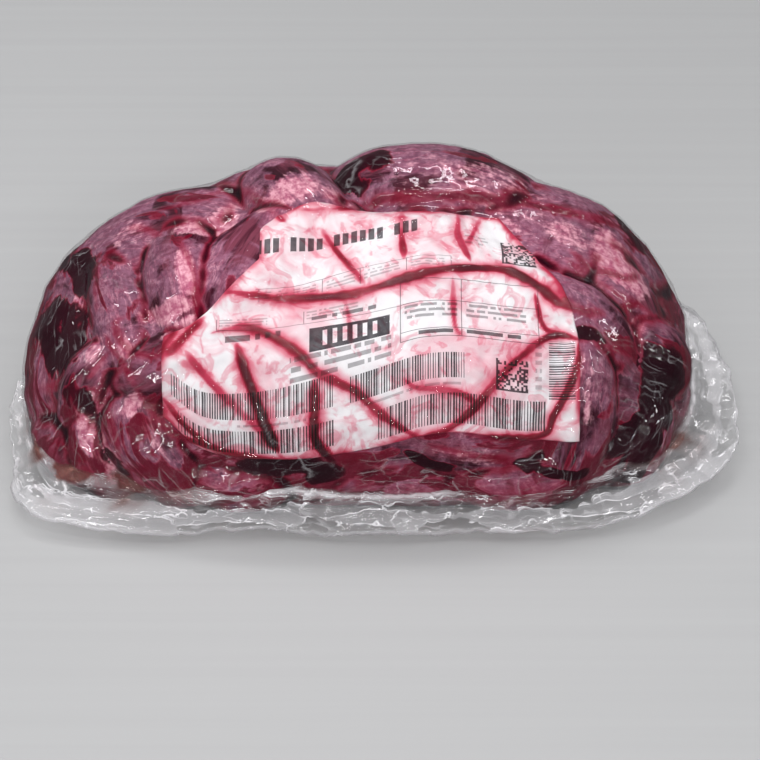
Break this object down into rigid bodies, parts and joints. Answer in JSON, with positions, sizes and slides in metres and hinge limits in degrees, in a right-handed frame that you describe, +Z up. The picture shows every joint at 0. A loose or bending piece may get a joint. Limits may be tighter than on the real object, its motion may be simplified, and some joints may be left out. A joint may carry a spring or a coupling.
{
  "type": "vacuum-packed raw beef skirt steak",
  "caption": "Folded raw beef skirt steak sealed in a clear vacuum bag, with a white label under the tight film and a crumpled sealed rim standing out round its base.",
  "frame": {"origin": "centre of the whole pack's box, on the table that the pack lies on", "axes": "+Z up, +X along the pack's length to the right as the label is read, +Y away from the label's side"},
  "size_m": [0.2576, 0.1618, 0.0912],
  "materials": {
    "beef": "dark red raw muscle with pink fat and pools of blood, wet and glossy under tight film",
    "label": "white coated paper with grey and black print fields, stained by red blood along its creases",
    "film": "clear glossy shrunken film with sharp creases"
  },
  "bodies": {
    "root": {"sealed_bag": "beef", "label": "label"}
  },
  "joints": []
}
